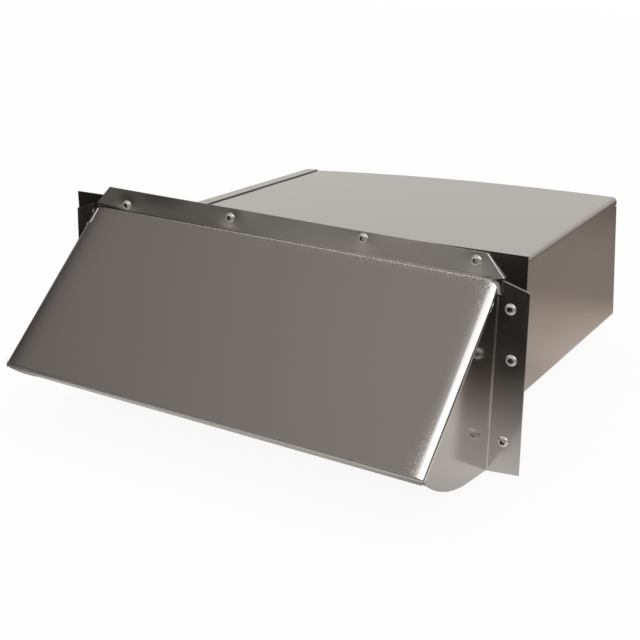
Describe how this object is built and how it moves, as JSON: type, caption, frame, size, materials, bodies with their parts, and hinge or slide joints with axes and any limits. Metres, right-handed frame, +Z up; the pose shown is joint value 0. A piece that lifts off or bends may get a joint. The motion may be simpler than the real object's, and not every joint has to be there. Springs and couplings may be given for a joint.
{
  "type": "dryer vent cap",
  "caption": "Sloped-hood wall vent cap in bright sheet metal, riveted to a flanged rectangular duct, with a gravity backdraught damper inside the duct's mouth.",
  "frame": {"origin": "centre of the duct's mouth, in the plane of the duct flange's back face, which lies against the wall", "axes": "+Y along the duct into the wall, -Y outdoors, +X to the right seen from outdoors, +Z up"},
  "size_m": [0.3096, 0.324, 0.1309],
  "materials": {
    "bright_stainless_sheet": "bright annealed stainless sheet",
    "flap_sheet": "thin mill-finish stainless sheet",
    "rod_steel": "drawn steel rod",
    "rivet_metal": "bright blind rivet",
    "nylon": "natural moulded nylon",
    "foam_seal": "closed-cell foam tape"
  },
  "bodies": {
    "cap": {"hood": "bright_stainless_sheet", "duct": "bright_stainless_sheet", "bushing_left": "nylon", "bushing_right": "nylon", "damper_stop": "flap_sheet", "damper_seal": "foam_seal", "rivet_top_1": "rivet_metal", "rivet_top_2": "rivet_metal", "rivet_top_3": "rivet_metal", "rivet_top_4": "rivet_metal", "rivet_left_1": "rivet_metal", "rivet_left_2": "rivet_metal", "rivet_left_3": "rivet_metal", "rivet_right_1": "rivet_metal", "rivet_right_2": "rivet_metal", "rivet_right_3": "rivet_metal"},
    "damper": {"damper_flap": "flap_sheet", "hinge_rod": "rod_steel", "push_nut_left": "rod_steel", "push_nut_right": "rod_steel"}
  },
  "joints": [
    {"name": "damper_hinge", "type": "hinge", "parent": "cap", "child": "damper", "pos_m": [0, 0.014, 0.0343], "axis": [-1, 0, 0], "range_deg": [0, 51]}
  ]
}
